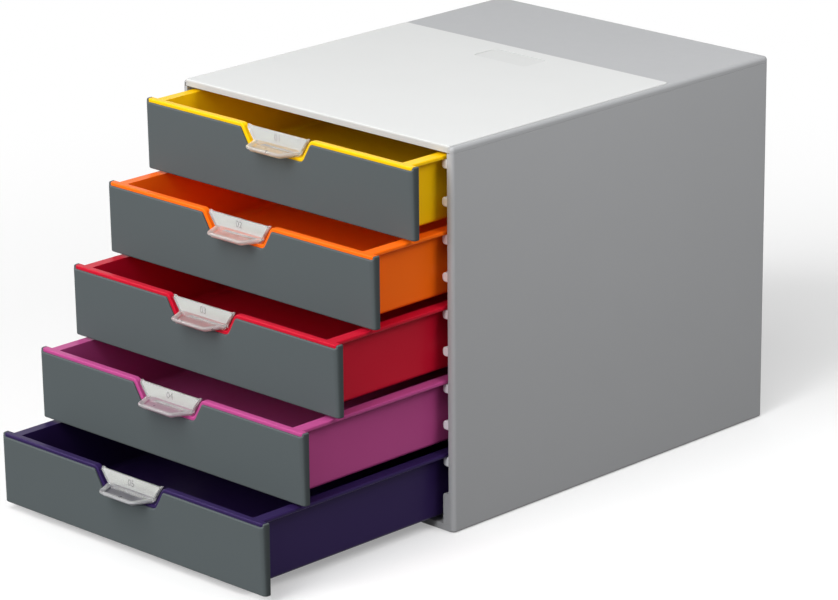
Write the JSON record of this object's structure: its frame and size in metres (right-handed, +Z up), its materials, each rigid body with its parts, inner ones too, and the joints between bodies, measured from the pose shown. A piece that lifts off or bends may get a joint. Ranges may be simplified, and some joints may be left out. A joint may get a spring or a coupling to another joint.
{
  "type": "desktop drawer unit",
  "caption": "Open-fronted desktop casing with pull-out paper trays on moulded ribs, each with a dark front, a notch and a clear label holder that is also the pull.",
  "frame": {"origin": "middle of the casing's footprint, on the desk plane under the standing rim", "axes": "+Z up, +X to the right of someone facing the drawer fronts, drawers open towards -Y"},
  "size_m": [0.28, 0.5538, 0.2926],
  "materials": {
    "casing_grey": "fine satin moulded grey polystyrene",
    "cover_light": "smooth satin pale grey",
    "front_charcoal": "satin charcoal grey",
    "tray_yellow": "semi-gloss moulded yellow",
    "tray_orange": "semi-gloss moulded orange",
    "tray_red": "semi-gloss moulded red",
    "tray_magenta": "semi-gloss moulded magenta",
    "tray_violet": "semi-gloss moulded violet",
    "holder_clear": "clear polished polystyrene",
    "card_white": "plain white card",
    "screw_steel": "zinc plated",
    "pad_rubber": "matte black"
  },
  "bodies": {
    "casing": {"side_panel_left": "casing_grey", "side_panel_right": "casing_grey", "roof_panel": "casing_grey", "top_cover": "cover_light", "rear_panel": "casing_grey", "base_panel": "casing_grey", "base_screws": "screw_steel", "desk_pads": "pad_rubber"},
    "drawer_1": {"tray_1": "tray_yellow", "fascia_1": "front_charcoal", "label_holder_1": "holder_clear", "label_card_1": "card_white"},
    "drawer_2": {"tray_2": "tray_orange", "fascia_2": "front_charcoal", "label_holder_2": "holder_clear", "label_card_2": "card_white"},
    "drawer_3": {"tray_3": "tray_red", "fascia_3": "front_charcoal", "label_holder_3": "holder_clear", "label_card_3": "card_white"},
    "drawer_4": {"tray_4": "tray_magenta", "fascia_4": "front_charcoal", "label_holder_4": "holder_clear", "label_card_4": "card_white"},
    "drawer_5": {"tray_5": "tray_violet", "fascia_5": "front_charcoal", "label_holder_5": "holder_clear", "label_card_5": "card_white"}
  },
  "joints": [
    {"name": "drawer_1_slide", "type": "slide", "parent": "casing", "child": "drawer_1", "axis": [0, -1, 0], "range_m": [-0.0325, 0.2175]},
    {"name": "drawer_2_slide", "type": "slide", "parent": "casing", "child": "drawer_2", "axis": [0, -1, 0], "range_m": [-0.0725, 0.1775]},
    {"name": "drawer_3_slide", "type": "slide", "parent": "casing", "child": "drawer_3", "axis": [0, -1, 0], "range_m": [-0.1095, 0.1405]},
    {"name": "drawer_4_slide", "type": "slide", "parent": "casing", "child": "drawer_4", "axis": [0, -1, 0], "range_m": [-0.144, 0.106]},
    {"name": "drawer_5_slide", "type": "slide", "parent": "casing", "child": "drawer_5", "axis": [0, -1, 0], "range_m": [-0.1835, 0.0665]}
  ]
}
